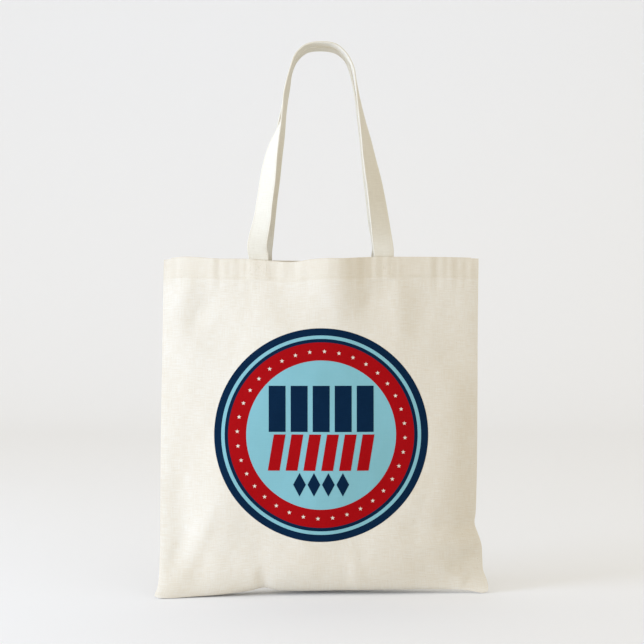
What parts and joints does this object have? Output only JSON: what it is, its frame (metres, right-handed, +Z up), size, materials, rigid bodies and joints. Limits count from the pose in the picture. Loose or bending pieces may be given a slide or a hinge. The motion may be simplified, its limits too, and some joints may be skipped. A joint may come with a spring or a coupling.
{
  "type": "tote bag",
  "caption": "Flat cotton tote bag standing upright, two web handles that fold down over its open mouth, and a round badge print on its front.",
  "frame": {"origin": "on the floor under the middle of the bag", "axes": "+X to the right across the printed front, +Y from the front to the back, +Z up along the handles"},
  "size_m": [0.4, 0.066, 0.6606],
  "materials": {
    "canvas": "unbleached plain-weave cotton, matt, with small darker flecks",
    "strap": "folded cotton strap of the same cloth, matt",
    "thread": "cotton sewing thread, matt",
    "ink_navy": "dark blue ink printed into the weave, matt",
    "ink_red": "red ink printed into the weave, matt",
    "ink_pale": "pale blue ink printed into the weave, matt"
  },
  "bodies": {
    "bag": {"bottom_fold": "canvas", "left_side_seam": "canvas", "right_side_seam": "canvas", "front_panel": "canvas", "front_hem_fold": "canvas", "back_panel": "canvas", "back_hem_fold": "canvas", "front_strap_end_left": "strap", "front_strap_end_right": "strap", "back_strap_end_left": "strap", "back_strap_end_right": "strap", "front_hem_stitching": "thread", "back_hem_stitching": "thread", "front_box_stitching_left": "thread", "front_box_stitching_right": "thread", "back_box_stitching_left": "thread", "back_box_stitching_right": "thread", "print_outer_ring": "ink_navy", "print_inner_ring": "ink_navy", "print_upright_1": "ink_navy", "print_upright_2": "ink_navy", "print_upright_3": "ink_navy", "print_upright_4": "ink_navy", "print_upright_5": "ink_navy", "print_diamond_1": "ink_navy", "print_diamond_2": "ink_navy", "print_diamond_3": "ink_navy", "print_diamond_4": "ink_navy", "print_star_band": "ink_red", "print_slant_1": "ink_red", "print_slant_2": "ink_red", "print_slant_3": "ink_red", "print_slant_4": "ink_red", "print_slant_5": "ink_red", "print_slant_6": "ink_red", "print_pale_ring": "ink_pale", "print_pale_field": "ink_pale"},
    "front_handle": {"front_handle": "strap"},
    "back_handle": {"back_handle": "strap"}
  },
  "joints": [
    {"name": "front_handle_fold", "type": "hinge", "parent": "bag", "child": "front_handle", "pos_m": [0, -0.0208, 0.4042], "axis": [1, 0, 0], "range_deg": [0, 165]},
    {"name": "back_handle_fold", "type": "hinge", "parent": "bag", "child": "back_handle", "pos_m": [0, 0.0208, 0.4042], "axis": [-1, 0, 0], "range_deg": [0, 165]}
  ]
}
